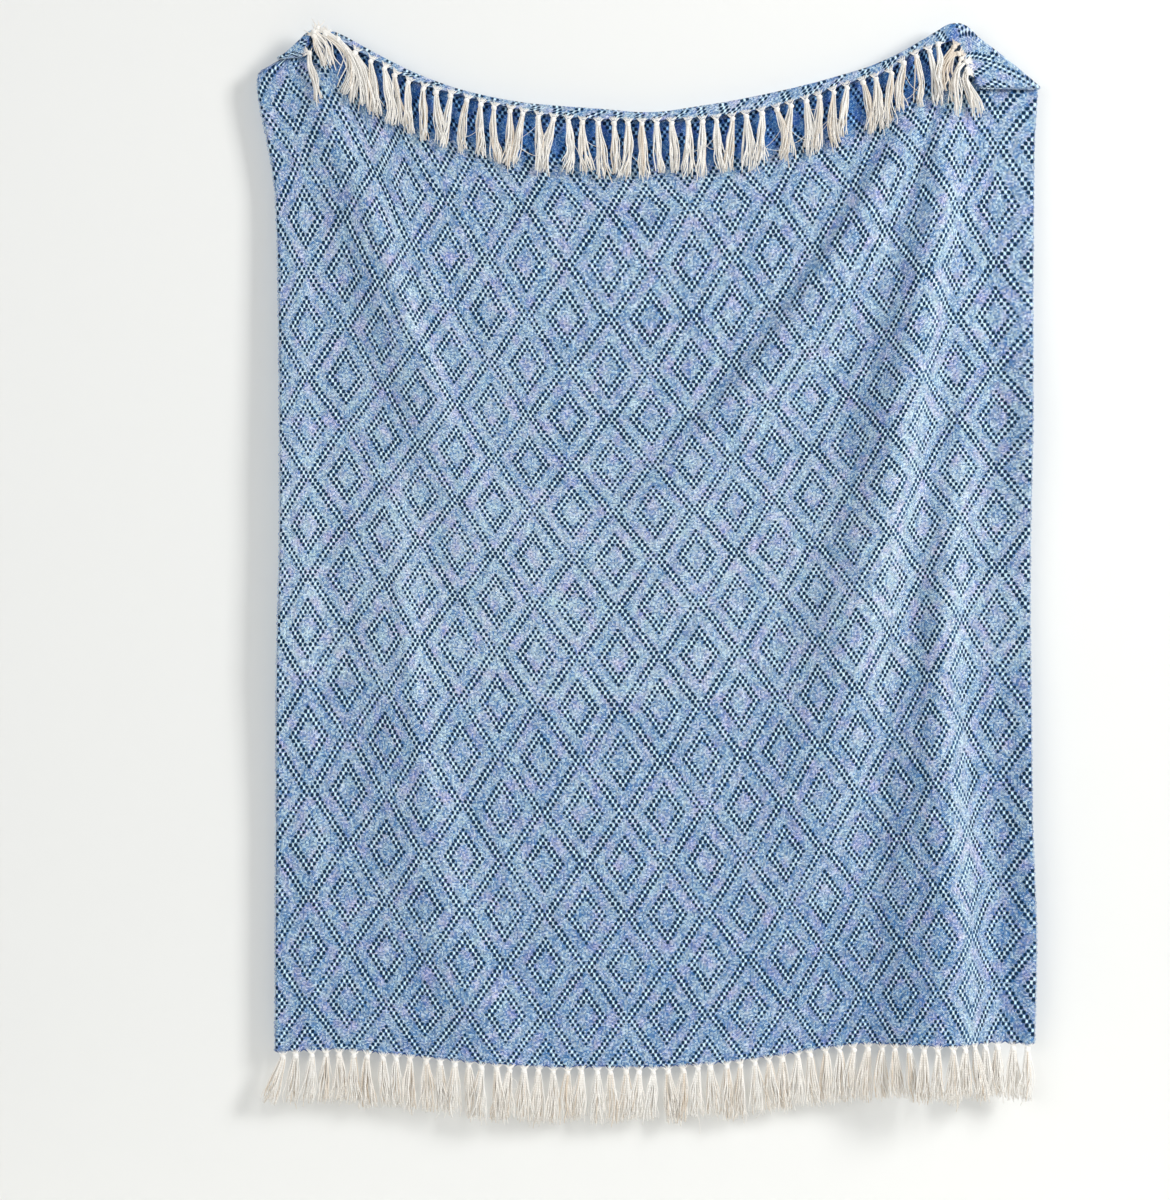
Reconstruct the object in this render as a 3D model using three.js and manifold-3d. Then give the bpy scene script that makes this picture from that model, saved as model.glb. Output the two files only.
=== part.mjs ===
// A throw blanket of patterned cotton, hung by its upper edge. Its top end is turned down
// over the front, so the knotted fringe of that end hangs in front of the cloth.
// Millimetres. X runs to the right along the top edge, the front looks towards -Y, Z is up.
// The origin is the crest of the turned edge at its lowest point, halfway along.
import * as THREE from 'three';
import Module from 'manifold-3d';

// The cloth laid flat
const CLOTH_WIDTH = 1300;
const CLOTH_LENGTH = 1660;
const CLOTH_THICKNESS = 2.6;
const PATTERN_ROWS = 253;
const ROW_PITCH = CLOTH_LENGTH / PATTERN_ROWS;

// The turned edge: the two layers are twice this far apart, middle to middle
const TURN_RADIUS = 4.5;
const TURN_STEPS = 4;

// The fringe at each end
const TASSELS = 54;
const TASSEL_PITCH = CLOTH_WIDTH / TASSELS;
const PARTING = 0.3;
const HEADER_HEIGHT = 3;
const KNOT_THREAD = 1.4;
const KNOT_WIDTH = 10;
const KNOT_DEPTH = 8;
const KNOT_HEIGHT = 9;
const LOCK_WIDTH = 7.5;
const LOCK_DEPTH = 6;
const LOCK_SPREAD = 4.6;
const TOP_TASSEL = 84;
const BOTTOM_TASSEL = 78;
const CLEARANCE = 3;

// The cloth is spread along each line again and again until it keeps its own width. Rows of
// the weave are beaten a little closer in one half of the cloth than in the other.
const HANG_PASSES = 24;
const FIRST_GUESS = { x: -610, width: 1220 };
const BEAT = { share: 0.009, bend: 1.6 };
const FLAP_STANDS_OUT = 2;

// How finely the cloth is drawn: columns are close where it is folded and wide where it is flat
const COLUMN_BANDS = [
  { from: 0, to: 300, columns: 15 },
  { from: 300, to: 840, columns: 12 },
  { from: 840, to: 1300, columns: 27 },
];
const CLOTH_ROWS = 26;
const FLAP_ROWS = 2;

// The turned edge as it hangs, from the left corner over the two high points to the right corner
const TOP_EDGE = [
  { x: -635, z: 55 },
  { x: -622, z: 72 },
  { x: -575, z: 110 },
  { x: -555, z: 124 },
  { x: -545, z: 127 },
  { x: -520, z: 122 },
  { x: -467, z: 94 },
  { x: -422, z: 69 },
  { x: -370, z: 46 },
  { x: -331, z: 35 },
  { x: -250, z: 16 },
  { x: -170, z: 4 },
  { x: -90, z: 0 },
  { x: 0, z: 0 },
  { x: 72, z: 6 },
  { x: 154, z: 17 },
  { x: 202, z: 28 },
  { x: 264, z: 44 },
  { x: 325, z: 68 },
  { x: 388, z: 94 },
  { x: 450, z: 122 },
  { x: 475, z: 134 },
  { x: 490, z: 136 },
  { x: 503, z: 131 },
  { x: 528, z: 106 },
  { x: 558, z: 84 },
  { x: 582, z: 66 },
  { x: 608, z: 44 },
  { x: 619, z: 34 },
];

// The lower hem
const HEM = [
  { x: -615, z: -1530 },
  { x: -520, z: -1526 },
  { x: -432, z: -1533 },
  { x: -290, z: -1545 },
  { x: -150, z: -1555 },
  { x: -20, z: -1555 },
  { x: 90, z: -1549 },
  { x: 183, z: -1538 },
  { x: 273, z: -1524 },
  { x: 357, z: -1514 },
  { x: 470, z: -1512 },
  { x: 610, z: -1514 },
];

// One weft thread below the turned edge, this many pattern rows above the hem
const HIGH_ROW = 221;
const HIGH_WEFT = [
  { x: -625, z: -86 },
  { x: -570, z: -86 },
  { x: -510, z: -88 },
  { x: -460, z: -106 },
  { x: -405, z: -132 },
  { x: -346, z: -148 },
  { x: -283, z: -158 },
  { x: -150, z: -168 },
  { x: -80, z: -170 },
  { x: 54, z: -163 },
  { x: 186, z: -148 },
  { x: 252, z: -138 },
  { x: 315, z: -124 },
  { x: 375, z: -104 },
  { x: 430, z: -84 },
  { x: 490, z: -67 },
  { x: 555, z: -64 },
  { x: 615, z: -66 },
];

// The two side edges as they hang
const LEFT_EDGE = [
  { z: -1530, x: -614 },
  { z: -960, x: -611 },
  { z: -635, x: -605 },
  { z: -310, x: -608 },
  { z: -150, x: -613 },
  { z: -70, x: -624 },
  { z: 10, x: -639 },
  { z: 35, x: -641 },
  { z: 55, x: -635 },
];
const RIGHT_EDGE = [
  { z: -1520, x: 610 },
  { z: -1363, x: 613 },
  { z: -1120, x: 606 },
  { z: -797, x: 605 },
  { z: -312, x: 610 },
  { z: -70, x: 613 },
  { z: 15, x: 618 },
  { z: 34, x: 619 },
];

// The pattern row on which the cloth is turned, across its flat width
const TURNED_AT = [
  { across: 0, row: 240 },
  { across: 40, row: 245 },
  { across: 92, row: 250 },
  { across: 300, row: 249 },
  { across: 650, row: 247 },
  { across: 1000, row: 249 },
  { across: 1168, row: 250 },
  { across: 1230, row: 243 },
  { across: 1300, row: 235 },
];

// The knotted end of the turned-down flap, across the flat width
const FLAP_END = [
  { across: 0, x: -567, z: 81 },
  { across: 30, x: -562, z: 92 },
  { across: 60, x: -553, z: 104 },
  { across: 92, x: -540, z: 107 },
  { across: 115, x: -520, z: 105 },
  { across: 140, x: -496, z: 96 },
  { across: 271, x: -377, z: 32 },
  { across: 486, x: -170, z: -25 },
  { across: 656, x: 0, z: -33 },
  { across: 811, x: 154, z: -14 },
  { across: 882, x: 223, z: 5 },
  { across: 984, x: 320, z: 36 },
  { across: 1041, x: 375, z: 52 },
  { across: 1135, x: 455, z: 100 },
  { across: 1168, x: 488, z: 103 },
  { across: 1200, x: 496, z: 86 },
  { across: 1240, x: 506, z: 66 },
  { across: 1300, x: 526, z: 34 },
];

// Folds that fall from the two high points: where each crest runs, how far it stands out
// and how wide its flanks are
const FOLDS = [
  {
    name: 'drag line below the right high point',
    crest: [
      { z: 60, x: 470, height: 0, left: 20, right: 30 },
      { z: 0, x: 420, height: 8, left: 20, right: 30 },
      { z: -150, x: 344, height: 13, left: 22, right: 34 },
      { z: -312, x: 247, height: 14, left: 24, right: 70 },
      { z: -474, x: 129, height: 11, left: 24, right: 75 },
      { z: -603, x: 16, height: 6, left: 28, right: 75 },
      { z: -700, x: -60, height: 0, left: 30, right: 75 },
    ],
  },
  {
    name: 'inner right fold',
    crest: [
      { z: 90, x: 488, height: 0, left: 14, right: 16 },
      { z: 0, x: 478, height: 14, left: 18, right: 20 },
      { z: -150, x: 456, height: 24, left: 25, right: 25 },
      { z: -312, x: 425, height: 34, left: 36, right: 34 },
      { z: -474, x: 396, height: 38, left: 40, right: 38 },
      { z: -635, x: 367, height: 38, left: 44, right: 44 },
      { z: -797, x: 331, height: 34, left: 50, right: 48 },
      { z: -960, x: 297, height: 26, left: 52, right: 52 },
      { z: -1120, x: 262, height: 16, left: 56, right: 58 },
      { z: -1290, x: 215, height: 5, left: 60, right: 60 },
      { z: -1400, x: 190, height: 0, left: 60, right: 60 },
    ],
  },
  {
    name: 'outer right fold',
    crest: [
      { z: -250, x: 505, height: 0, left: 20, right: 20 },
      { z: -400, x: 503, height: 6, left: 22, right: 22 },
      { z: -560, x: 492, height: 10, left: 24, right: 24 },
      { z: -650, x: 480, height: 17, left: 22, right: 25 },
      { z: -797, x: 459, height: 28, left: 24, right: 24 },
      { z: -960, x: 456, height: 34, left: 26, right: 26 },
      { z: -1120, x: 459, height: 44, left: 34, right: 34 },
      { z: -1290, x: 462, height: 54, left: 42, right: 42 },
      { z: -1450, x: 458, height: 62, left: 46, right: 46 },
      { z: -1560, x: 458, height: 64, left: 46, right: 46 },
    ],
  },
  {
    name: 'right edge standing forward',
    crest: [
      { z: 60, x: 640, height: 0, left: 30, right: 30 },
      { z: -100, x: 622, height: 5, left: 30, right: 30 },
      { z: -312, x: 618, height: 8, left: 34, right: 34 },
      { z: -400, x: 616, height: 16, left: 34, right: 34 },
      { z: -520, x: 616, height: 24, left: 34, right: 34 },
      { z: -700, x: 616, height: 12, left: 34, right: 34 },
      { z: -840, x: 616, height: 12, left: 34, right: 34 },
      { z: -960, x: 616, height: 20, left: 34, right: 34 },
      { z: -1200, x: 618, height: 28, left: 36, right: 36 },
      { z: -1560, x: 616, height: 22, left: 36, right: 36 },
    ],
  },
  {
    name: 'upper left fold',
    crest: [
      { z: 90, x: -540, height: 0, left: 16, right: 20 },
      { z: 0, x: -532, height: 12, left: 18, right: 24 },
      { z: -70, x: -507, height: 24, left: 20, right: 24 },
      { z: -150, x: -467, height: 28, left: 22, right: 28 },
      { z: -312, x: -424, height: 28, left: 26, right: 30 },
      { z: -394, x: -401, height: 25, left: 30, right: 34 },
      { z: -474, x: -372, height: 20, left: 32, right: 40 },
      { z: -560, x: -345, height: 14, left: 34, right: 44 },
      { z: -700, x: -300, height: 7, left: 36, right: 50 },
      { z: -850, x: -250, height: 0, left: 40, right: 50 },
    ],
  },
  {
    name: 'lower left fold',
    crest: [
      { z: -400, x: -490, height: 0, left: 30, right: 34 },
      { z: -560, x: -475, height: 12, left: 32, right: 36 },
      { z: -700, x: -458, height: 17, left: 32, right: 36 },
      { z: -797, x: -441, height: 20, left: 32, right: 34 },
      { z: -960, x: -407, height: 22, left: 32, right: 32 },
      { z: -1120, x: -383, height: 21, left: 34, right: 34 },
      { z: -1290, x: -356, height: 19, left: 38, right: 38 },
      { z: -1450, x: -283, height: 16, left: 42, right: 42 },
      { z: -1560, x: -250, height: 14, left: 44, right: 44 },
    ],
  },
];

const COTTON = { color: 0x8fa8cc, roughness: 0.95, metalness: 0 };
const CREAM = { color: 0xf0e9dc, roughness: 0.95, metalness: 0 };

// Straight-line reading of a table; the key column may rise or fall
function read(table, key, at, column) {
  const rising = table[table.length - 1][key] > table[0][key];
  const rows = rising ? table : [...table].reverse();
  if (at <= rows[0][key]) return rows[0][column];
  for (let i = 1; i < rows.length; i += 1) {
    if (at > rows[i][key]) continue;
    const share = (at - rows[i - 1][key]) / (rows[i][key] - rows[i - 1][key]);
    return rows[i - 1][column] + share * (rows[i][column] - rows[i - 1][column]);
  }
  return rows[rows.length - 1][column];
}

// Smooth reading of a table that never overshoots its rows; the key column rises
function curve(table, key, at, column) {
  const last = table.length - 1;
  const x = Math.min(Math.max(at, table[0][key]), table[last][key]);
  let i = 0;
  while (i < last - 1 && x > table[i + 1][key]) i += 1;
  const rise = (k) => {
    const across = table[k + 1][key] - table[k][key];
    return (table[k + 1][column] - table[k][column]) / across;
  };
  const slope = (k) => {
    if (k === 0) return rise(0);
    if (k === last) return rise(last - 1);
    const a = rise(k - 1);
    const b = rise(k);
    return a * b <= 0 ? 0 : (2 * a * b) / (a + b);
  };
  const step = table[i + 1][key] - table[i][key];
  const t = (x - table[i][key]) / step;
  const startShare = 2 * t ** 3 - 3 * t ** 2 + 1;
  const endShare = -2 * t ** 3 + 3 * t ** 2;
  const startSlope = (t ** 3 - 2 * t ** 2 + t) * step;
  const endSlope = (t ** 3 - t ** 2) * step;
  const value = startShare * table[i][column] + endShare * table[i + 1][column];
  return value + startSlope * slope(i) + endSlope * slope(i + 1);
}

// How far the hanging cloth stands forward at a place
function standout(x, z) {
  let sum = 0;
  for (const fold of FOLDS) {
    const height = read(fold.crest, 'z', z, 'height');
    if (height <= 0) continue;
    const away = x - read(fold.crest, 'z', z, 'x');
    const flank = read(fold.crest, 'z', z, away < 0 ? 'left' : 'right');
    sum += height * Math.exp(-0.5 * (away / flank) ** 2);
  }
  return sum;
}

// Height of a pattern row at a place along X. The rows lie a little closer in the upper half
// of the cloth than in the lower half.
function heightOfRow(x, row, turnedRow) {
  const high = curve(HIGH_WEFT, 'x', x, 'z');
  if (row > HIGH_ROW) {
    const share = (row - HIGH_ROW) / (turnedRow - HIGH_ROW);
    const edge = curve(TOP_EDGE, 'x', x, 'z') - TURN_RADIUS - CLOTH_THICKNESS / 2;
    return high + share * (edge - high);
  }
  const share = row / HIGH_ROW;
  const beat = BEAT.share * Math.sin(2 * Math.PI * share ** BEAT.bend);
  const hem = curve(HEM, 'x', x, 'z');
  return hem + (high - hem) * (share + beat);
}

function columnPlaces() {
  const places = [0];
  for (const band of COLUMN_BANDS) {
    const step = (band.to - band.from) / band.columns;
    for (let i = 1; i <= band.columns; i += 1) places.push(band.from + i * step);
  }
  return places;
}

// One line of the cloth at a constant share of each column's length, spread along X so that
// the cloth keeps its own width over the folds
function hangLine(places, share) {
  const turned = places.map((u) => curve(TURNED_AT, 'across', u, 'row'));
  let xs = places.map((u) => FIRST_GUESS.x + (FIRST_GUESS.width * u) / CLOTH_WIDTH);
  for (let pass = 0; pass < HANG_PASSES; pass += 1) {
    const zs = xs.map((x, i) => heightOfRow(x, share * turned[i], turned[i]));
    const outs = xs.map((x, i) => standout(x, zs[i]));
    const left = curve(LEFT_EDGE, 'z', zs[0], 'x');
    const right = curve(RIGHT_EDGE, 'z', zs[zs.length - 1], 'x');
    const steps = [];
    for (let i = 1; i < xs.length; i += 1) {
      const hung = Math.hypot(xs[i] - xs[i - 1], zs[i] - zs[i - 1], outs[i] - outs[i - 1]);
      const slant = share * (turned[i] - turned[i - 1]) * ROW_PITCH;
      const flat = Math.hypot(places[i] - places[i - 1], slant);
      steps.push(((xs[i] - xs[i - 1]) * flat) / hung);
    }
    const total = steps.reduce((a, b) => a + b, 0);
    let x = left;
    xs = [x];
    for (const step of steps) {
      x += (step * (right - left)) / total;
      xs.push(x);
    }
  }
  return xs.map((x, i) => {
    const z = heightOfRow(x, share * turned[i], turned[i]);
    return new THREE.Vector3(x, TURN_RADIUS - standout(x, z), z);
  });
}

// Upward direction across the turned edge at each column
function edgeNormals(line) {
  return line.map((point, i) => {
    const a = line[Math.max(i - 1, 0)];
    const b = line[Math.min(i + 1, line.length - 1)];
    return new THREE.Vector3(a.z - b.z, 0, b.x - a.x).normalize();
  });
}

// The middle surface of the cloth, hem first, over the turn and down to the end of the flap
function middleSurface(places) {
  const lines = [];
  for (let i = 0; i <= CLOTH_ROWS; i += 1) lines.push(hangLine(places, i / CLOTH_ROWS));
  const edge = lines[CLOTH_ROWS];
  const normals = edgeNormals(edge);
  for (let k = 1; k <= TURN_STEPS; k += 1) {
    const angle = (Math.PI * k) / TURN_STEPS;
    lines.push(edge.map((point, i) => {
      const turned = point.clone().addScaledVector(normals[i], TURN_RADIUS * Math.sin(angle));
      turned.y = point.y - TURN_RADIUS + TURN_RADIUS * Math.cos(angle);
      return turned;
    }));
  }
  const front = lines[lines.length - 1];
  const ends = places.map((u) => {
    const x = curve(FLAP_END, 'across', u, 'x');
    const z = curve(FLAP_END, 'across', u, 'z');
    return new THREE.Vector3(x, -TURN_RADIUS - FLAP_STANDS_OUT - standout(x, z), z);
  });
  for (let k = 1; k <= FLAP_ROWS; k += 1) {
    lines.push(front.map((point, i) => {
      const p = point.clone().lerp(ends[i], k / FLAP_ROWS);
      p.y = Math.min(p.y, -TURN_RADIUS - standout(p.x, p.z));
      return p;
    }));
  }
  return lines;
}

// Unit normals of a grid of points, pointing away from the viewer on the hanging layer
function gridNormals(lines) {
  const rows = lines.length;
  const columns = lines[0].length;
  return lines.map((line, r) => line.map((point, c) => {
    const along = lines[Math.min(r + 1, rows - 1)][c].clone().sub(lines[Math.max(r - 1, 0)][c]);
    const across = line[Math.min(c + 1, columns - 1)].clone().sub(line[Math.max(c - 1, 0)]);
    return along.cross(across).normalize();
  }));
}

function geometryFrom(points, triangles) {
  const geometry = new THREE.BufferGeometry();
  const flat = [];
  for (const p of points) flat.push(p.x, p.y, p.z);
  geometry.setAttribute('position', new THREE.Float32BufferAttribute(flat, 3));
  geometry.setIndex(triangles);
  return geometry;
}

// A closed slab: two skins of the same grid and the four edges between them
function slab(front, back) {
  const rows = front.length;
  const columns = front[0].length;
  const points = [...front.flat(), ...back.flat()];
  const half = rows * columns;
  const at = (r, c) => r * columns + c;
  const triangles = [];
  const quad = (a, b, c, d) => triangles.push(a, b, c, a, c, d);
  for (let r = 0; r < rows - 1; r += 1) {
    for (let c = 0; c < columns - 1; c += 1) {
      quad(at(r, c), at(r, c + 1), at(r + 1, c + 1), at(r + 1, c));
      quad(half + at(r, c), half + at(r + 1, c), half + at(r + 1, c + 1), half + at(r, c + 1));
    }
  }
  for (let c = 0; c < columns - 1; c += 1) {
    quad(at(0, c + 1), at(0, c), half + at(0, c), half + at(0, c + 1));
    const top = rows - 1;
    quad(at(top, c), at(top, c + 1), half + at(top, c + 1), half + at(top, c));
  }
  for (let r = 0; r < rows - 1; r += 1) {
    quad(at(r, 0), at(r + 1, 0), half + at(r + 1, 0), half + at(r, 0));
    const side = columns - 1;
    quad(at(r + 1, side), at(r, side), half + at(r, side), half + at(r + 1, side));
  }
  return geometryFrom(points, triangles);
}

function offset(lines, normals, distance) {
  return lines.map((line, r) => line.map((p, c) => p.clone().addScaledVector(normals[r][c], distance)));
}

const wasm = await Module();
wasm.setup();

function solidOf(geometry) {
  const triangles = Uint32Array.from(geometry.index.array);
  const vertices = Float32Array.from(geometry.getAttribute('position').array);
  return new wasm.Manifold(new wasm.Mesh({ numProp: 3, vertProperties: vertices, triVerts: triangles }));
}

function meshOf(solid, name, look) {
  const made = solid.getMesh();
  const geometry = new THREE.BufferGeometry();
  geometry.setAttribute('position', new THREE.BufferAttribute(Float32Array.from(made.vertProperties), 3));
  geometry.setIndex(new THREE.BufferAttribute(Uint32Array.from(made.triVerts), 1));
  geometry.computeVertexNormals();
  const mesh = new THREE.Mesh(geometry, new THREE.MeshStandardMaterial(look));
  mesh.name = name;
  return mesh;
}

// The way out of the cloth at each point of one of its ends, square to that end. Its length
// keeps a strip that is shifted along it parallel to the cloth round the bends.
function waysOut(end, inner) {
  const square = (a, b, i) => {
    const out = new THREE.Vector3(b.z - a.z, 0, a.x - b.x).normalize();
    return out.dot(end[i].clone().sub(inner[i])) < 0 ? out.negate() : out;
  };
  return end.map((p, i) => {
    const before = square(end[Math.max(i - 1, 0)], end[Math.max(i, 1)], i);
    const last = end.length - 1;
    const after = square(end[Math.min(i, last - 1)], end[Math.min(i + 1, last)], i);
    const sum = before.add(after);
    return sum.multiplyScalar(2 / Math.max(sum.lengthSq(), 1.5));
  });
}

// A small repeatable source of unevenness
function makeUneven(seed) {
  let state = seed;
  return () => {
    state = (state * 48271) % 2147483647;
    return state / 2147483647;
  };
}

// Four points round a place: left, front, right and back
function diamond(p, width, depth) {
  const corner = (x, y) => new THREE.Vector3(p.x + (x * width) / 2, p.y + (y * depth) / 2, p.z);
  return [corner(-1, 0), corner(0, -1), corner(1, 0), corner(0, 1)];
}

// Three points round a place, with the single one on the outer side of its tassel
function wedge(p, width, depth, side) {
  const corner = (x, y) => new THREE.Vector3(p.x + (x * width) / 2, p.y + (y * depth) / 2, p.z);
  if (side < 0) return [corner(-1, 0), corner(1, -1), corner(1, 1)];
  return [corner(-1, -1), corner(1, 0), corner(-1, 1)];
}

// One tassel as a closed solid: a thread into the header, a knot, and two locks below it
function tassel(root, knot, neck, locks, shape) {
  const points = [];
  const triangles = [];
  const ringOf = (corners) => corners.map((p) => points.push(p) - 1);
  const sides = (upper, lower) => {
    for (let i = 0; i < upper.length; i += 1) {
      const j = (i + 1) % upper.length;
      triangles.push(upper[i], lower[i], lower[j], upper[i], lower[j], upper[j]);
    }
  };
  const top = ringOf(diamond(root, shape.thread, shape.thread));
  const waist = ringOf(diamond(knot, shape.width, shape.depth));
  const fork = ringOf(diamond(neck, shape.width * 0.8, shape.depth * 0.8));
  triangles.push(top[0], top[1], top[2], top[0], top[2], top[3]);
  sides(top, waist);
  sides(waist, fork);
  for (const { side, bend, tip } of locks) {
    const start = side < 0 ? [fork[0], fork[1], fork[3]] : [fork[1], fork[2], fork[3]];
    const middle = ringOf(wedge(bend, shape.lock, LOCK_DEPTH, side));
    const end = ringOf(wedge(tip, shape.lock * 0.7, LOCK_DEPTH * 0.6, side));
    sides(start, middle);
    sides(middle, end);
    triangles.push(end[0], end[2], end[1]);
  }
  return solidOf(geometryFrom(points, triangles));
}

// Furthest back that a piece of fringe may hang at a place without touching the cloth behind
function clearOfCloth(x, z, depth) {
  let out = 0;
  for (const dx of [-8, 0, 8]) out = Math.max(out, standout(x + dx, z));
  return TURN_RADIUS - out - CLOTH_THICKNESS / 2 - CLEARANCE - depth / 2;
}

// One fringe: a narrow header beside the cloth's end, with knots and hanging locks. ahead is
// the way out of the cloth at each column.
function fringe(frontEnd, backEnd, ahead, places, length, seed, inFront) {
  const uneven = makeUneven(seed);
  const shifted = (line, by) => line.map((p, i) => p.clone().addScaledVector(ahead[i], by));
  const near = PARTING;
  const far = PARTING + HEADER_HEIGHT;
  const header = slab(
    [shifted(frontEnd, far), shifted(frontEnd, near)],
    [shifted(backEnd, far), shifted(backEnd, near)],
  );
  const pieces = [solidOf(header)];
  const middle = frontEnd.map((p, i) => p.clone().lerp(backEnd[i], 0.5));
  const at = (line, u) => {
    let i = 1;
    while (i < places.length - 1 && places[i] < u) i += 1;
    const share = (u - places[i - 1]) / (places[i] - places[i - 1]);
    return line[i - 1].clone().lerp(line[i], share);
  };
  for (let k = 0; k < TASSELS; k += 1) {
    const u = TASSEL_PITCH * (k + 0.5);
    const way = at(ahead, u).normalize();
    const root = at(middle, u).addScaledVector(way, PARTING + HEADER_HEIGHT * 0.6);
    const slant = Math.abs(way.x);
    const knot = root.clone().addScaledVector(way, KNOT_HEIGHT * 0.7 + KNOT_WIDTH * 0.4 * slant);
    knot.z = Math.min(knot.z, root.z - 2);
    const neighbour = at(middle, Math.min(u + TASSEL_PITCH, CLOTH_WIDTH - 1));
    const room = Math.min(1, Math.abs(neighbour.x - at(middle, u).x) / (TASSEL_PITCH * 0.8));
    const layer = room < 0.75 ? (k % 3) * 8 : 0;
    const neck = knot.clone();
    neck.z -= KNOT_HEIGHT * 0.6;
    if (inFront) neck.y = Math.min(neck.y, clearOfCloth(neck.x, neck.z, KNOT_DEPTH)) - layer * 0.4;
    const lean = (uneven() - 0.5) * 5 * room;
    const long = length * (0.92 + 0.14 * uneven());
    const locks = [-1, 1].map((side) => {
      const spread = side * LOCK_SPREAD * Math.max(room, 0.7);
      const bend = neck.clone();
      bend.x += spread * 0.9 + lean * 0.4;
      bend.z -= long * 0.3;
      const tip = neck.clone();
      tip.x += spread + lean + way.x * 6;
      tip.z = knot.z - long - uneven() * 3;
      if (inFront) {
        bend.y = Math.min(bend.y, clearOfCloth(bend.x, bend.z, LOCK_DEPTH) - layer);
        tip.y = Math.min(bend.y, clearOfCloth(tip.x, tip.z, LOCK_DEPTH) - layer);
      }
      return { side, bend, tip };
    });
    pieces.push(tassel(root, knot, neck, locks, {
      thread: KNOT_THREAD,
      width: KNOT_WIDTH * Math.max(room, 0.6),
      depth: KNOT_DEPTH,
      lock: LOCK_WIDTH * Math.max(room, 0.75),
    }));
  }
  return wasm.Manifold.union(pieces);
}

const places = columnPlaces();
const middle = middleSurface(places);
const normals = gridNormals(middle);
const skinA = offset(middle, normals, -CLOTH_THICKNESS / 2);
const skinB = offset(middle, normals, CLOTH_THICKNESS / 2);

const last = middle.length - 1;
const hemWay = waysOut(middle[0], middle[1]);
const flapWay = waysOut(middle[last], middle[last - 1]);

const group = new THREE.Group();
group.add(meshOf(solidOf(slab(skinA, skinB)), 'throw', COTTON));
group.add(meshOf(
  fringe(skinA[0], skinB[0], hemWay, places, BOTTOM_TASSEL, 7919, false),
  'fringe_bottom',
  CREAM,
));
group.add(meshOf(
  fringe(skinB[last], skinA[last], flapWay, places, TOP_TASSEL, 104729, true),
  'fringe_top',
  CREAM,
));
export default group;
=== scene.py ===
"""A woven cotton throw, hung by its turned-down upper edge, with a knotted fringe at both ends.

The cloth is worked out in millimetres, in the part's own frame: X to the right along the upper
edge, the patterned front towards -Y, Z up. It becomes metres when a mesh is made.
"""

import math
from collections import namedtuple

import bpy
import numpy as np
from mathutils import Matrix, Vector, noise


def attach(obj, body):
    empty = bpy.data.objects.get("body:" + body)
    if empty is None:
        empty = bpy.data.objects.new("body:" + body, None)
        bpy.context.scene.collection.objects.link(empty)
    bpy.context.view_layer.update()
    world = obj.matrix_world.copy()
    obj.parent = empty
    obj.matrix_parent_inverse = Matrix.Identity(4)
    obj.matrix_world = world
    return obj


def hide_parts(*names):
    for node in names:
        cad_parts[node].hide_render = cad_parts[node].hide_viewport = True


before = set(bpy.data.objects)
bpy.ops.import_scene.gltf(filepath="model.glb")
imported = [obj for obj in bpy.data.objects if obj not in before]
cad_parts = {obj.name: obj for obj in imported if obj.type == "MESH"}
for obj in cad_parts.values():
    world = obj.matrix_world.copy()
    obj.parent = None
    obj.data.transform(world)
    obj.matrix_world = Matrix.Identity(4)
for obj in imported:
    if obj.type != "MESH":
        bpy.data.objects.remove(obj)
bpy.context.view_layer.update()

MM = 0.001

# The cloth laid flat
CLOTH_WIDTH = 1300.0
CLOTH_LENGTH = 1660.0
CLOTH_THICKNESS = 2.4
PATTERN_COLUMNS = 294
PATTERN_ROWS = 253
ROW_PITCH = CLOTH_LENGTH / PATTERN_ROWS
COLUMN_PITCH = CLOTH_WIDTH / PATTERN_COLUMNS

# The turned edge
TURN_RADIUS = 4.5
TURN_STEPS = 8
FLAP_STANDS_OUT = 2.0

# The fringe at each end, whose knots leave the cloth scalloped between them
TASSELS = 54
TASSEL_PITCH = CLOTH_WIDTH / TASSELS
SCALLOP = 3.2
KNOT_SIZE = 4.5
KNOT_BELOW = 0.95
FAN_THREADS = 9
FAN_HALF_WIDTH = 8.5
FAN_RADII = (0.55, 0.8, 0.8)
WISP_RADII = (0.8, 0.7, 0.4)
YARN_STEPS = 10
YARN_STANDS_OFF = 1.5
SPLIT_CHANCE = 0.3
LAYER_DEPTH = 2.4
ASTRAY_POINTS = 9
ASTRAY_RADIUS = 0.45

# How finely the cloth is drawn
CLOTH_COLUMNS = 4 * TASSELS + 1
CLOTH_ROWS = 206
FLAP_ROWS = 14

# How often each line is spread along X, where its ends lie at first, and the least divisor
HANG_PASSES = 24
FIRST_ENDS = (-610.0, 610.0)
TINY = 1e-9

Point = namedtuple("Point", "x z")
Crest = namedtuple("Crest", "z x height left right")
Turn = namedtuple("Turn", "across row")
End = namedtuple("End", "across x z")
Laid = namedtuple("Laid", "across full wisps tan way")
Ripple = namedtuple("Ripple", "wide tall deep level")
Pinch = namedtuple("Pinch", "x width depth")
LoopPoint = namedtuple("LoopPoint", "pick out radius")
Lozenge = namedtuple("Lozenge", "width height soft")
Style = namedtuple(
    "Style",
    "length yarns radius wide deep neck open_by wave lean stray uneven taper in_front astray seed",
)


def table(kind, *rows):
    """Rows of one kind."""
    return [kind(*row) for row in rows]


# Top tassels are full and hang against the cloth; bottom ones are combed out and wispy
TOP_STYLE = Style(
    length=80, yarns=17, radius=1.08, wide=6.7, deep=3.6, neck=0.42, open_by=0.3, wave=3.0,
    lean=8.5, stray=2.2, uneven=0.09, taper=0.25, in_front=True, astray=34, seed=11,
)
BOTTOM_STYLE = Style(
    length=75, yarns=36, radius=0.86, wide=12.0, deep=5.0, neck=0.34, open_by=0.6, wave=2.6,
    lean=4.6, stray=3.6, uneven=0.09, taper=0.35, in_front=False, astray=26, seed=23,
)

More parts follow.
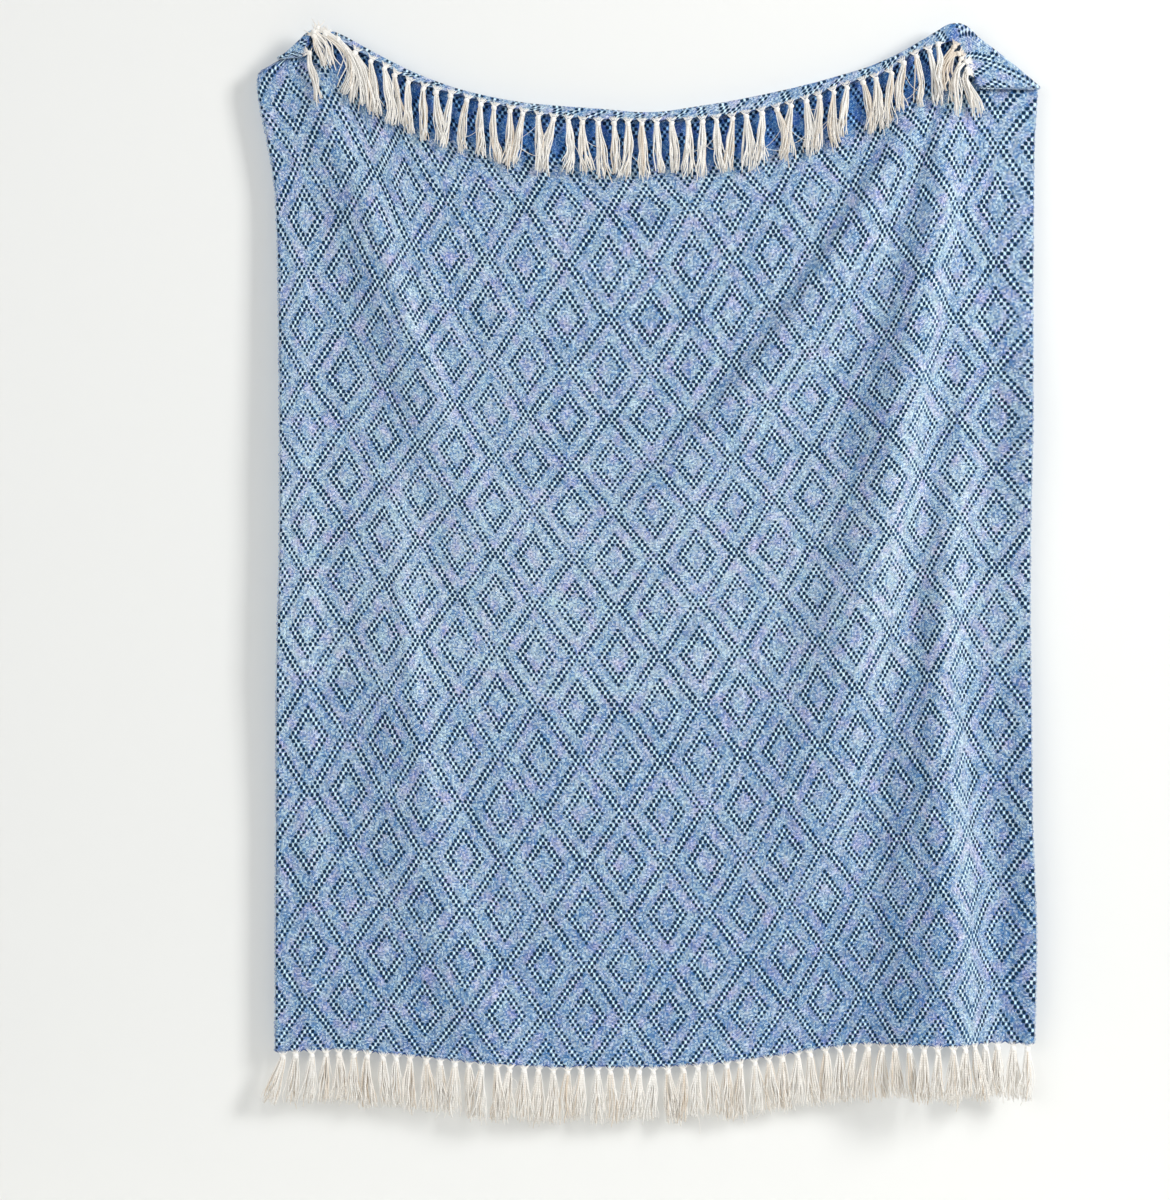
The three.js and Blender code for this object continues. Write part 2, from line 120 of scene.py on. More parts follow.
# The first bottom tassels lean to the left, each less than the one before
FIRST_LEAN = -20
LEAN_DIES_OVER = 3

# The turned edge as it hangs, from the left corner over the two high points to the right corner
TOP_EDGE = table(
    Point,
    (-643, 67), (-636, 75), (-624, 80), (-606, 83), (-575, 107), (-556, 124), (-545, 127),
    (-520, 122), (-478, 101), (-437, 80), (-396, 59), (-356, 43), (-315, 28.5), (-275, 19),
    (-234, 11.5), (-194, 5.5), (-154, 2.5), (-105, -1.5), (-57, -5.5), (-18, -8), (13, -7),
    (73, 2), (105, 7), (151, 16), (197, 25), (244, 36), (289, 48.5), (336, 62), (370, 75),
    (405, 92), (440, 112), (462, 126), (479, 135), (492, 136), (503, 131), (521, 113), (542, 97),
    (582, 66), (608, 44), (619, 34),
)

# The lower hem
HEM = table(
    Point,
    (-615, -1530), (-520, -1526), (-432, -1533), (-290, -1545), (-150, -1555), (-20, -1555),
    (90, -1549), (183, -1538), (273, -1524), (357, -1514), (470, -1512), (610, -1514),
)

# One weft thread below the turned edge, this many pattern rows above the hem
HIGH_ROW = 221
HIGH_WEFT = table(
    Point,
    (-625, -86), (-570, -86), (-510, -88), (-460, -106), (-405, -132), (-346, -148), (-283, -158),
    (-150, -168), (-80, -170), (54, -163), (186, -148), (252, -138), (315, -124), (375, -104),
    (430, -84), (490, -67), (555, -64), (615, -66),
)
BEAT_SHARE = 0.009
BEAT_BEND = 1.6

# Above 2 the right flank of a fold starts flatter and then falls more steeply
RIGHT_FLANK_POWER = 2.6

# The two side edges as they hang, from the hem up
LEFT_EDGE = table(
    Point,
    (-614, -1530), (-611, -960), (-605, -635), (-608, -310), (-613, -150), (-624, -70),
    (-640, 10), (-643, 35), (-642, 51), (-638, 63), (-628, 71), (-607, 76),
)
RIGHT_EDGE = table(
    Point,
    (610, -1520), (613, -1363), (606, -1120), (605, -797), (610, -312), (613, -70), (618, 15),
    (619, 34),
)

# The pattern row on which the cloth is turned, across its flat width
TURNED_AT = table(
    Turn,
    (0, 243), (40, 246), (92, 250), (300, 249), (650, 247), (1000, 249), (1168, 250), (1230, 243),
    (1300, 235),
)

# The knotted end of the turned-down flap, across the flat width
FLAP_END = table(
    End,
    (0, -567, 81), (30, -562, 96), (54, -554, 115), (76, -545, 122), (96, -534, 121),
    (118, -517, 112), (142, -495, 98), (200, -441, 68), (271, -377, 35), (323, -327, 21),
    (371, -281, 8), (428, -226, -4), (486, -170, -15), (570, -86, -22), (656, 0, -23),
    (740, 83, -19), (811, 154, -9), (882, 223, 8), (984, 320, 39), (1041, 375, 56),
    (1075, 405, 78), (1120, 444, 95), (1150, 470, 103), (1168, 486, 101), (1200, 497, 84),
    (1225, 502, 73), (1250, 507, 60), (1275, 514, 46), (1300, 522, 30),
)

# Folds that fall from the two high points: where each crest runs (Z and X), how far it stands
# out, and how wide its left and right flanks are
FOLDS = {
    "drag line below the right high point": [
        (60, 470, 0, 18, 26), (0, 424, 11, 18, 26), (-150, 346, 20, 19, 34),
        (-312, 247, 22, 20, 70), (-474, 129, 17, 22, 75), (-603, 16, 9, 26, 75),
        (-700, -60, 0, 30, 75),
    ],
    "inner right fold": [
        (90, 488, 0, 14, 16), (0, 478, 12, 18, 20), (-150, 458, 20, 24, 25),
        (-312, 427, 31, 34, 33), (-474, 397, 36, 39, 36), (-635, 368, 37, 44, 40),
        (-797, 333, 33, 50, 43), (-960, 299, 25, 52, 48), (-1120, 264, 15, 56, 54),
        (-1290, 220, 5, 60, 60), (-1400, 195, 0, 60, 60),
    ],
    "outer right fold": [
        (-250, 505, 0, 20, 22), (-400, 502, 6, 20, 24), (-560, 490, 10, 20, 26),
        (-650, 478, 16, 20, 26), (-797, 461, 25, 22, 26), (-960, 456, 31, 28, 29),
        (-1120, 459, 40, 42, 34), (-1290, 467, 48, 56, 40), (-1450, 464, 52, 64, 47),
        (-1560, 462, 54, 68, 51),
    ],
    "right edge standing forward": [
        (60, 640, 0, 30, 30), (-100, 622, 5, 30, 30), (-312, 618, 8, 34, 34),
        (-400, 616, 16, 34, 34), (-520, 616, 24, 34, 34), (-700, 616, 12, 34, 34),
        (-840, 616, 12, 34, 34), (-960, 616, 20, 34, 34), (-1200, 618, 26, 32, 36),
        (-1560, 616, 20, 30, 36),
    ],
    "left edge standing forward": [
        (-120, -630, 0, 40, 40), (-350, -630, 7, 40, 42), (-560, -628, 14, 40, 44),
        (-900, -628, 13, 40, 44), (-1150, -628, 4, 40, 40), (-1560, -628, 3, 40, 36),
    ],
    "upper left fold": [
        (90, -540, 0, 16, 20), (0, -532, 7, 20, 24), (-70, -509, 13, 26, 24),
        (-150, -471, 16, 32, 28), (-312, -426, 17, 36, 31), (-394, -402, 16, 36, 35),
        (-474, -374, 15, 34, 40), (-560, -345, 11, 36, 44), (-700, -300, 7, 38, 50),
        (-850, -250, 0, 40, 50),
    ],
    "lower left fold": [
        (-400, -470, 0, 44, 36), (-560, -455, 4, 50, 38), (-700, -438, 7.5, 54, 37),
        (-797, -424, 10, 56, 35), (-960, -394, 12, 54, 33), (-1120, -374, 13, 50, 35),
        (-1290, -352, 14, 42, 38), (-1450, -292, 12, 44, 42), (-1560, -262, 11, 46, 44),
    ],
}

# Sharp little creases, lying on the folds
CREASES = {
    "pinched crease below the left high point": [
        (-90, -490, 0, 7, 8), (-133, -474, 3.5, 7, 9), (-272, -422, 4.5, 7, 10),
        (-361, -393, 4, 8, 10), (-475, -343, 2.5, 9, 12), (-560, -318, 0, 9, 12),
    ],
    "second streak from the left high point": [
        (20, -470, 0, 12, 14), (-60, -446, 3, 12, 16), (-206, -402, 4.5, 14, 18),
        (-396, -320, 3.5, 14, 20), (-480, -296, 0, 14, 20),
    ],
    "narrow streak on the lower left fold": [
        (-600, -428, 0, 9, 11), (-720, -416, 3.5, 9, 11), (-865, -401, 5, 9, 12),
        (-985, -389, 4, 9, 12), (-1100, -372, 3, 10, 12), (-1200, -356, 0, 10, 12),
    ],
    "crease up to the right high point": [
        (125, 484, 0, 7, 7), (90, 478, 4, 7, 7), (20, 470, 4, 8, 9), (-90, 446, 3, 9, 10),
        (-200, 420, 0, 10, 10),
    ],
    "soft wave left of the outer right fold": [
        (-780, 400, 0, 12, 14), (-900, 396, 4, 14, 16), (-1050, 396, 4, 14, 18),
        (-1200, 390, 4, 16, 18), (-1450, 384, 3, 18, 20),
    ],
    "soft wave beside the left edge": [
        (-120, -585, 0, 12, 12), (-300, -575, 4, 12, 14), (-700, -568, 5, 14, 14),
        (-1100, -560, 4, 14, 16), (-1500, -556, 4, 16, 16),
    ],
}

FOLD_CRESTS = [table(Crest, *rows) for rows in FOLDS.values()]
CREASE_CRESTS = [table(Crest, *rows) for rows in CREASES.values()]

# How far the weave is pulled along each row, in pattern columns, at a few heights
PULLED_COLUMNS = [0, 12, 42, 57, 102, 147, 192, 237, 282, 294]
PULLS_ACROSS = {
    253: (0, 2.0, 3.0, 4.2, 4.6, 2.8, 2.0, 2.0, 2.2, 0),
    221: (0, 2.2, 3.0, 4.6, 5.0, 3.0, 2.1, 2.1, 2.6, 0),
    169: (0, 2.5, 2.4, 2.6, 5.8, 4.0, 3.1, 2.3, 2.5, 0),
    117: (0, 1.7, 1.4, 2.5, 2.9, 0.9, -0.2, 0.1, 1.0, 0),
    65: (0, -0.2, 0.0, 0.5, -0.2, -1.7, -2.0, -1.1, 1.3, 0),
    13: (0, 0.4, 0.5, 0.7, -0.6, -1.5, -2.7, -1.0, 1.5, 0),
    0: (0, 0.3, 0.4, 0.5, -0.6, -1.4, -2.5, -1.0, 1.3, 0),
}

# The same up each column, in pattern rows
PULLS_UP = {
    253: (0,) * 10,
    221: (0.4, 0.4, 0.0, 0.6, 0.0, 0.5, 0.4, 1.3, 0.5, 0.5),
    169: (0.8, 0.8, -1.2, -1.4, 0.1, 0.4, 0.0, 1.4, 1.7, 1.7),
    117: (1.1, 1.1, 0.2, -0.8, 0.0, 0.0, 0.4, 2.0, 1.9, 1.9),
    65: (2.5, 2.5, 1.8, 1.2, 1.1, 1.3, 1.7, 2.6, 1.3, 1.3),
    13: (1.5, 1.5, 1.1, 1.3, 0.5, 0.6, 0.9, 0.6, -0.8, -0.8),
    0: (0,) * 10,
}

# Tassels that lie askew at the two high points: where each is knotted across the flat width, how
# full it is, how many wisps stand up from its knot, how tan it is, and the X and Z where it falls
LAID = {
    0: Laid(12, 1.0, 1, 0.15, [(-558, 66), (-549, 38), (-546, 8)]),
    1: Laid(56, 1.0, 5, 0.25, [(-548, 104), (-533, 66)]),
    2: Laid(64, 0.8, 4, 0.05, [(-531, 99), (-521, 64)]),
    3: Laid(84, 1.0, 4, 0.05, [(-505, 98), (-489, 70), (-503, 21)]),
    4: Laid(100, 1.0, 3, 0.05, [(-500, 92), (-484, 56), (-488, 8)]),
    5: Laid(124, 1.0, 1, 0.05, [(-489, 78), (-477, 44), (-470, 0)]),
    6: Laid(158, 1.0, 0, 0.05, [(-469, 48), (-460, -10)]),
    7: Laid(184, 1.0, 0, 0.05, [(-452, 24), (-449, -16)]),
    8: Laid(208, 1.0, 0, 0.05, [(-430, 26), (-425, -4), (-428, -28)]),
    47: Laid(1136, 0.9, 0, 0.05, [(459, 72), (455, 46), (457, 18)]),
    48: Laid(1166, 0.8, 0, 0.75, [(474, 82), (462, 62), (459, 28)]),
    49: Laid(1192, 0.8, 0, 0.6, [(483, 84), (469, 62), (467, 24)]),
    50: Laid(1228, 0.85, 0, 0.1, [(488, 57), (484, 40), (487, 12), (487, -15)]),
    51: Laid(1214, 0.45, 0, 0.3, [(488, 62), (478, 38), (480, 4)]),
    52: Laid(1246, 0.8, 0, 0.05, [(499, 46), (507, 26), (517, 3), (524, -17)]),
    53: Laid(1262, 0.45, 0, 0.2, [(502, 44), (507, 22), (513, -4)]),
}


def read(rows, key, at, column):
    """Straight-line reading of a table; the key column may rise or fall."""
    rows = sorted(rows, key=lambda row: getattr(row, key))
    keys = [getattr(row, key) for row in rows]
    return np.interp(at, keys, [getattr(row, column) for row in rows])


def cubic(keys, values, slopes, at):
    """Reads rows joined by cubics that meet each row with its own slope."""
    i = np.clip(np.searchsorted(keys, at, side="right") - 1, 0, len(keys) - 2)
    step = keys[i + 1] - keys[i]
    t = (at - keys[i]) / step
    if values.ndim > 1:
        step, t = step[:, None], t[:, None]
    start = (2 * t**3 - 3 * t**2 + 1) * values[i] + (t**3 - 2 * t**2 + t) * step * slopes[i]
    end = (3 * t**2 - 2 * t**3) * values[i + 1] + (t**3 - t**2) * step * slopes[i + 1]
    return start + end


def curve(rows, key, at, column):
    """Smooth reading of a table that never overshoots its rows; the key column rises."""
    keys = np.array([getattr(row, key) for row in rows], float)
    values = np.array([getattr(row, column) for row in rows], float)
    rise = np.diff(values) / np.diff(keys)
    slopes = np.concatenate([rise[:1], np.zeros(len(rise) - 1), rise[-1:]])
    both = rise[:-1] * rise[1:] > 0
    slopes[1:-1][both] = 2 * rise[:-1][both] * rise[1:][both] / (rise[:-1] + rise[1:])[both]
    return cubic(keys, values, slopes, np.clip(np.asarray(at, float), keys[0], keys[-1]))


def smooth_path(points, count):
    """Evenly spaced points on a smooth curve through a few given ones."""
    points = np.asarray(points, float)
    knots = np.concatenate([[0], np.cumsum(np.linalg.norm(np.diff(points, axis=0), axis=1))])
    slopes = np.gradient(points, knots, axis=0)
    return cubic(knots, points, slopes, np.linspace(0, knots[-1], count))


def point_at(place, keys, line):
    """A point or a direction read from a line of them."""
    return np.array([np.interp(place, keys, line[:, i]) for i in range(3)])


def unit(vectors):
    """The same directions, each one long."""
    return vectors / np.maximum(np.linalg.norm(vectors, axis=-1, keepdims=True), TINY)


def square_to(runs):
    """Upright directions square to these, each one long."""
    return unit(np.stack([-runs[:, 2], np.zeros(len(runs)), runs[:, 0]], axis=1))


def standout(x, z):
    """How far the hanging cloth stands forward at a place."""
    total = np.zeros(np.broadcast(x, z).shape)
    for crest in FOLD_CRESTS + CREASE_CRESTS:
        height = read(crest, "z", z, "height")
        away = x - read(crest, "z", z, "x")
        flank = np.where(away < 0, read(crest, "z", z, "left"), read(crest, "z", z, "right"))
        power = np.where(away < 0, 2.0, RIGHT_FLANK_POWER)
        total = total + height * np.exp(-0.5 * np.abs(away / flank) ** power)
    return total


def height_of_row(x, row, turned_row):
    """Height of a pattern row at a place along X."""
    high = curve(HIGH_WEFT, "x", x, "z")
    hem = curve(HEM, "x", x, "z")
    edge = curve(TOP_EDGE, "x", x, "z") - TURN_RADIUS - CLOTH_THICKNESS / 2
    share = row / HIGH_ROW
    beat = BEAT_SHARE * np.sin(2 * np.pi * np.clip(share, 0, 1) ** BEAT_BEND)
    lower = hem + (high - hem) * (share + beat)
    upper = high + (edge - high) * (row - HIGH_ROW) / (turned_row - HIGH_ROW)
    return np.where(row > HIGH_ROW, upper, lower)


def hang_line(places, share):
    """One line of the cloth, spread along X so that it keeps its own width over the folds."""
    turned = curve(TURNED_AT, "across", places, "row")
    row = share * turned
    flat = np.hypot(np.diff(places), np.diff(row) * ROW_PITCH)
    x = np.interp(places, [0, CLOTH_WIDTH], FIRST_ENDS)
    for _ in range(HANG_PASSES):
        z = height_of_row(x, row, turned)
        out = standout(x, z)
        left = float(curve(LEFT_EDGE, "z", z[0], "x"))
        right = float(curve(RIGHT_EDGE, "z", z[-1], "x"))
        hung = np.sqrt(np.diff(x) ** 2 + np.diff(z) ** 2 + np.diff(out) ** 2)
        steps = np.diff(x) * flat / hung
        x = left + np.concatenate([[0], np.cumsum(steps)]) * (right - left) / steps.sum()
    z = height_of_row(x, row, turned)
    return np.stack([x, TURN_RADIUS - standout(x, z), z], axis=1), row


def middle_surface(places):
    """Points in the middle of the cloth, hem first, and the pattern row of each."""
    lines, rows = [], []
    for share in np.linspace(0, 1, CLOTH_ROWS + 1):
        line, row = hang_line(places, share)
        lines.append(line)
        rows.append(row)
    edge, turned = lines[-1], rows[-1]
    up = square_to(np.gradient(edge, axis=0))
    turn_rows = math.pi * TURN_RADIUS / ROW_PITCH
    for k in range(1, TURN_STEPS + 1):
        angle = math.pi * k / TURN_STEPS
        line = edge + up * TURN_RADIUS * math.sin(angle)
        line[:, 1] += TURN_RADIUS * (math.cos(angle) - 1)
        lines.append(line)
        rows.append(turned + turn_rows * k / TURN_STEPS)
    front, front_rows = lines[-1], rows[-1]
    end_x, end_z = (curve(FLAP_END, "across", places, key) for key in ("x", "z"))
    end_y = -TURN_RADIUS - FLAP_STANDS_OUT - standout(end_x, end_z)
    ends = np.stack([end_x, end_y, end_z], axis=1)
    for k in range(1, FLAP_ROWS + 1):
        share = k / FLAP_ROWS
        line = front + (ends - front) * share
        line[:, 1] = np.minimum(line[:, 1], -TURN_RADIUS - standout(line[:, 0], line[:, 2]))
        lines.append(line)
        rows.append(front_rows + np.linalg.norm(line - front, axis=1) / ROW_PITCH)
    return np.array(lines), np.array(rows)


def grid_normals(points):
    """Unit normals of a grid, pointing away from the viewer on the hanging layer."""
    along = np.gradient(points, axis=0)
    across = np.gradient(points, axis=1)
    return unit(np.cross(along, across))


def make_object(name, points, faces, material, attributes=None):
    """A mesh object from millimetre points and faces of three or four corners."""
    mesh = bpy.data.meshes.new(name)
    mesh.from_pydata((np.asarray(points) * MM).tolist(), [], [tuple(f) for f in faces])
    mesh.polygons.foreach_set("use_smooth", [True] * len(mesh.polygons))
    for key, values in (attributes or {}).items():
        layer = mesh.attributes.new(key, "FLOAT_VECTOR", "POINT")
        layer.data.foreach_set("vector", np.asarray(values, np.float32).ravel())
    mesh.materials.append(material)
    mesh.update()
    made = bpy.data.objects.new(name, mesh)
    bpy.context.collection.objects.link(made)
    return made


def slab_faces(rows, columns):
    """Faces of a closed slab whose front and back skins are grids of the same size."""
    half = rows * columns
    index = np.arange(half).reshape(rows, columns)
    a, b, c, d = index[:-1, :-1], index[:-1, 1:], index[1:, 1:], index[1:, :-1]
    front = np.stack([a, b, c, d], axis=-1).reshape(-1, 4)
    back = np.stack([a, d, c, b], axis=-1).reshape(-1, 4) + half
    rims = []
    for edge in (index[0, ::-1], index[-1], index[:, 0], index[::-1, -1]):
        rims.append(np.stack([edge[:-1], edge[1:], edge[1:] + half, edge[:-1] + half], axis=1))
    return np.concatenate([front, back, *rims])


# Unevenness of a soft handwoven cloth, coarse and fine
RIPPLES = (Ripple(95, 150, 1.3, 3.1), Ripple(34, 48, 0.5, 7.7))


def ripple(place):
    """How far the cloth lies off its smooth shape, in millimetres."""
    x, _, z = place
    return sum(r.deep * noise.noise(Vector((x / r.wide, z / r.tall, r.level))) for r in RIPPLES)


def pulled(pulls_at, columns, rows):
    """Reading of a pull table at every point of the cloth."""
    heights = sorted(pulls_at)
    pulls = np.array([np.interp(columns[0], PULLED_COLUMNS, pulls_at[h]) for h in heights])
    lines = [np.interp(rows[:, k], heights, pulls[:, k]) for k in range(rows.shape[1])]
    return np.array(lines).T


def bell(away, width):
    return np.exp(-0.5 * (away / width) ** 2)


# Painted light and shade on the folds: a flank that faces left is painted bluer, with more weft,
# one that faces right paler, with more warp, as the light falls from the right
SLOPE_REACH = 8.0
SLOPE_GAIN = 0.5

# Each fold gets a painted highlight on its right flank, which faces the light, at a share of that
# flank from the crest
HIGHLIGHT_AT = 0.8
HIGHLIGHT_WIDTH = 11.0
HIGHLIGHT_GAIN = 0.011
HIGHLIGHT_HEIGHT = 32.0

# The turned edge is even and a little paler, but painted shade makes it bluer and darker where it
# is pinched at the two high points
TURNED_BALANCE = 0.1
PINCH_SHADES = (Pinch(482, 8, 0.9), Pinch(-554, 12, 0.8))
PINCH_SHADE_ABOVE = 80.0
PINCH_SHADE_GROWS_OVER = 15.0


def painted_light_and_tint(middle, hanging_rows):
    """Painted light (above 0, paler, with more white warp) and painted shade (below 0, bluer, with
    more blue weft) from place to place, and a slight tint of the turned edge.
    """
    x, z = middle[:, :, 0], middle[:, :, 2]
    # Painted light and shade by the way the cloth faces
    slope = (standout(x + SLOPE_REACH, z) - standout(x - SLOPE_REACH, z)) / (2 * SLOPE_REACH)
    light_and_tint = -SLOPE_GAIN * np.clip(slope, -1, 1)
    # Painted highlights on the lit flanks of the folds
    for crest in FOLD_CRESTS:
        away = x - read(crest, "z", z, "x") - HIGHLIGHT_AT * read(crest, "z", z, "right")
        height = np.minimum(read(crest, "z", z, "height"), HIGHLIGHT_HEIGHT)
        light_and_tint += HIGHLIGHT_GAIN * height * bell(away, HIGHLIGHT_WIDTH)
    # Painted shade where the turned edge is pinched at the two high points
    turned_x, turned_z = x[hanging_rows:], z[hanging_rows:]
    pinch_shade = sum(pinch.depth * bell(turned_x - pinch.x, pinch.width) for pinch in PINCH_SHADES)
    grown = np.clip((turned_z - PINCH_SHADE_ABOVE) / PINCH_SHADE_GROWS_OVER, 0, 1)
    light_and_tint[hanging_rows:] = TURNED_BALANCE - pinch_shade * grown
    return np.clip(light_and_tint, -1, 1)


# The shade of the flap and its tassels on the layer under them, in millimetres along the edge
# and below the flap's end; it is shorter and weaker towards the corners
SHADE_LEFT = -566.0
SHADE_LEFT_FADE = 60.0
SHADE_RIGHT = 506.0
SHADE_RIGHT_FADE = 40.0
SHADE_STARTS_ABOVE = 4.0
SHADE_GROWS_OVER = 6.0
SHADE_REACH = 36.0
SHADE_INNER_REACH = 58.0
SHADE_FADES_OVER = 34.0
SHADE_SHARE = 0.55
SHADE_INNER_SHARE = 0.45
SHADE_DEPTH = 1.1


def flap_shade(middle, hanging_rows):
    """How deep the hanging layer lies in the shade of the flap and its tassels."""
    x, z = middle[:, :, 0], middle[:, :, 2]
    under = read(FLAP_END, "x", x, "z") - z
    from_left = np.clip((x - SHADE_LEFT) / SHADE_LEFT_FADE, 0, 1)
    inner = from_left * np.clip((SHADE_RIGHT - x) / SHADE_RIGHT_FADE, 0, 1)
    starts = np.clip((under + SHADE_STARTS_ABOVE) / SHADE_GROWS_OVER, 0, 1)
    reach = SHADE_REACH + SHADE_INNER_REACH * inner
    shade = starts * np.clip((reach - under) / SHADE_FADES_OVER, 0, 1)
    shade[hanging_rows:] = 0
    return shade * (SHADE_SHARE + SHADE_INNER_SHARE * inner)


def make_cloth(places, middle, rows, material):
    """The cloth itself, and the points in its middle after the ripples are put in."""
    normals = grid_normals(middle)
    uneven = np.array([[ripple(p) for p in line] for line in middle])
    middle = middle + normals * uneven[:, :, None]
    beat = SCALLOP * np.cos(2 * np.pi * places / TASSEL_PITCH)
    for end, inner in ((0, 1), (-1, -2)):
        middle[end] -= unit(middle[end] - middle[inner]) * beat[:, None]
    half = CLOTH_THICKNESS / 2
    skins = np.concatenate([middle - normals * half, middle + normals * half])
    columns = np.broadcast_to(places / COLUMN_PITCH, rows.shape)
    light_and_tint = painted_light_and_tint(middle, CLOTH_ROWS + 1)
    across = columns + pulled(PULLS_ACROSS, columns, rows)
    up = rows + pulled(PULLS_UP, columns, rows)
    # The front skin also gets the painted shade of the flap and its tassels
    face = light_and_tint - SHADE_DEPTH * flap_shade(middle, CLOTH_ROWS + 1)
    weave = [np.stack([across, up, shown], axis=-1).reshape(-1, 3) for shown in (face, light_and_tint)]
    steps = np.linalg.norm(np.diff(middle, axis=0), axis=2)
    from_hem = np.concatenate([np.zeros((1, len(places))), np.cumsum(steps, axis=0)])
    from_end = np.minimum(from_hem, from_hem[-1] - from_hem)
    edge = np.stack([from_end] * 3, axis=-1).reshape(-1, 3)
    marks = {"weave": np.concatenate(weave), "edge": np.tile(edge, (2, 1))}
    faces = slab_faces(*rows.shape)
    return make_object("throw_cloth", skins.reshape(-1, 3), faces, material, marks), middle


# One loop of the weft at a side edge
LOOP = table(
    LoopPoint,
    (-0.42, -1.6, 0.85), (-0.3, 0.5, 0.95), (0.0, 1.0, 0.95), (0.3, 0.5, 0.95),
    (0.42, -1.6, 0.85),
)
LOOP_REACH = 1.7
SELVEDGE_SEED = 5


def make_selvedges(middle, rows, material):
    """The weft's small loops along both side edges, where each pick turns back."""
    bundle = Bundle()
    random = np.random.default_rng(SELVEDGE_SEED)
    radii = [point.radius for point in LOOP]
    for edge, inner in ((0, 1), (-1, -2)):
        ways = unit(middle[:, edge] - middle[:, inner])
        for pick in np.arange(0.5, PATTERN_ROWS - 1, 1.0):
            reach = LOOP_REACH + random.uniform(-0.5, 0.6)
            path = []
            for point in LOOP:
                at = point_at(pick + point.pick, rows[:, edge], middle[:, edge])
                way = point_at(pick + point.pick, rows[:, edge], ways)
                path.append(at + way * (point.out * reach if point.out > 0 else point.out))
            bundle.tube(path, radii, float(random.uniform(0, 1)), sides=3)
    return bundle.make("selvedge_loops", material)


# How matt every surface is
SPECULAR = 0.15
SHEEN_ROUGHNESS = 0.5


class Graph:
    """Short names for the nodes of one material."""

    def __init__(self, name):
        self.material = bpy.data.materials.new(name)
        self.material.use_nodes = True
        self.tree = self.material.node_tree
        self.tree.nodes.clear()

    def node(self, kind, **values):
        made = self.tree.nodes.new(kind)
        for key, value in values.items():
            setattr(made, key, value)
        return made

    def put(self, value, socket):
        if isinstance(value, bpy.types.NodeSocket):
            self.tree.links.new(value, socket)
        elif value is not None:
            socket.default_value = value

    def result(self, kind, values, output=0, **settings):
        """A new node's output, with values put into its first inputs."""
        made = self.node(kind, **settings)
        for value, socket in zip(values, made.inputs):
            self.put(value, socket)
        return made.outputs[output]

    def math(self, operation, *values):
        return self.result("ShaderNodeMath", values, operation=operation)

    def times(self, a, b):
        return self.math("MULTIPLY", a, b)

    def mix(self, share, a, b, blend="MIX"):
        made = self.node("ShaderNodeMix", data_type="RGBA", blend_type=blend)
        for value, socket in zip((share, a, b), (made.inputs[0], made.inputs[6], made.inputs[7])):
            self.put(value, socket)
        return made.outputs[2]

    def tinted(self, colour, tone):
        return self.mix(1.0, colour, self.combine(tone, tone, tone), "MULTIPLY")

    def noise(self, vector, scale, detail):
        made = self.node("ShaderNodeTexNoise", noise_dimensions="3D")
        self.put(vector, made.inputs["Vector"])
        self.put(scale, made.inputs["Scale"])
        self.put(detail, made.inputs["Detail"])
        return made.outputs["Fac"]

    def patches(self, u, v, scale_u, scale_v, level=0.0, detail=2.0):
        """Soft noise over the weave. Each level has patches of its own."""
        place = self.combine(self.times(u, scale_u), self.times(v, scale_v), level)
        return self.noise(place, 1.0, detail)

    def scatter(self, vector):
        """Three random numbers for each whole-number place."""
        kind = "ShaderNodeTexWhiteNoise"
        return self.result(kind, (vector,), "Color", noise_dimensions="3D")

    def split(self, vector):
        made = self.node("ShaderNodeSeparateXYZ")
        self.put(vector, made.inputs[0])
        return made.outputs[0], made.outputs[1], made.outputs[2]

    def attribute(self, name):
        made = self.node("ShaderNodeAttribute", attribute_name=name)
        return self.split(made.outputs["Vector"])

    def total(self, first, *values):
        for value in values:
            first = self.math("ADD", first, value)
        return first

    def bump(self, height, strength, distance, normal=None):
        made = self.node("ShaderNodeBump")
        self.put(height, made.inputs["Height"])
        self.put(strength, made.inputs["Strength"])
        self.put(distance, made.inputs["Distance"])
        self.put(normal, made.inputs["Normal"])
        return made.outputs[0]

    def finish(self, colour, normal, roughness, sheen):
        shader = self.node("ShaderNodeBsdfPrincipled")
        for value, name in (
            (colour, "Base Color"), (normal, "Normal"), (roughness, "Roughness"),
            (SPECULAR, "Specular IOR Level"), (sheen, "Sheen Weight"),
            (SHEEN_ROUGHNESS, "Sheen Roughness"),
        ):
            self.put(value, shader.inputs[name])
        self.surface(shader.outputs[0])

    def surface(self, shader):
        self.put(shader, self.node("ShaderNodeOutputMaterial").inputs[0])

    def ramp(self, value, low, high, to_low=0.0, to_high=1.0):
        return self.result("ShaderNodeMapRange", (value, low, high, to_low, to_high))

    def combine(self, x, y, z=0.0):
        return self.result("ShaderNodeCombineXYZ", (x, y, z))


def linear(red, green, blue):
    """An sRGB colour of 0 to 255 as Blender's linear values."""
    def one(value):
        share = value / 255
        return share / 12.92 if share <= 0.04045 else ((share + 0.055) / 1.055) ** 2.4
    return (one(red), one(green), one(blue), 1.0)


# Colours of the yarns, and of the painted highlight and painted shade on them
NAVY = linear(2, 42, 72)
# The dark floats as painted in a highlight
NAVY_HIGHLIGHT = linear(72, 121, 168)
WEFT_BLUE = linear(47, 104, 162)
WEFT_LAVENDER = linear(80, 106, 172)
WARP_WHITE = linear(200, 216, 224)
WARP_ROSE = linear(208, 207, 226)
WARP_GREEN = linear(192, 217, 222)
FLOAT_WHITE = linear(212, 240, 252)
HEM_BLUE = linear(22, 66, 134)
# Painted shade multiplies the cloth's colour by this
SHADED_BLUE = linear(168, 212, 250)
YARN_CREAM = linear(245, 243, 238)
YARN_TAN = linear(214, 194, 168)
LOOP_BLUE = linear(70, 112, 170)
LOOP_WHITE = linear(206, 222, 234)

